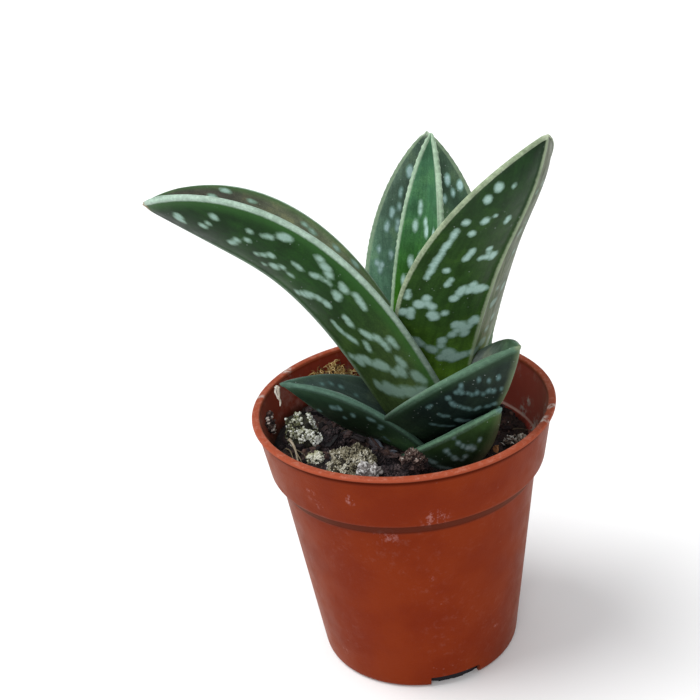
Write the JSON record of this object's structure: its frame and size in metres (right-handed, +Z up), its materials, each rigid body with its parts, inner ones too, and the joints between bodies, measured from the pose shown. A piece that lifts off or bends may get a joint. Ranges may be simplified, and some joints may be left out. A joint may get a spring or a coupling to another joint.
{
  "type": "potted aloe",
  "caption": "Small succulent with thick V-shaped, keeled leaves in three ranks, dark green with pale bands of spots, in a round tapered nursery pot with soil and litter.",
  "frame": {"origin": "the pot's axis at the underside of its base", "axes": "+Z up along the pot's axis; -Y faces the side that the picture shows; +X to that side's right"},
  "size_m": [0.0701, 0.055, 0.1021],
  "materials": {
    "pot_plastic": "terracotta-coloured thin moulded plastic, satin",
    "potting_soil": "dark peat and bark soil, rough",
    "stem_skin": "plain",
    "leaf_skin": "waxy dark green with pale bands of spots",
    "moss": "dry moss",
    "litter": "dry crumbled litter",
    "bark": "rough bark",
    "stone": "matt",
    "dried_leaf": "dry and papery"
  },
  "bodies": {
    "root": {"pot": "pot_plastic", "soil": "potting_soil", "stem": "stem_skin", "leaf_low_front": "leaf_skin", "leaf_low_left": "leaf_skin", "leaf_low_back": "leaf_skin", "leaf_low_right": "leaf_skin", "leaf_arching_left": "leaf_skin", "leaf_broad_back": "leaf_skin", "leaf_broad_right": "leaf_skin", "leaf_young": "leaf_skin", "crusted_moss_clump": "moss", "tan_litter_clump": "litter", "pale_stone": "stone", "dark_soil_clump": "potting_soil", "brown_bark_clump": "bark", "golden_moss_tuft": "moss", "right_crumb_clump": "potting_soil", "tan_pebble": "stone", "dried_leaf_tip": "dried_leaf"}
  },
  "joints": []
}
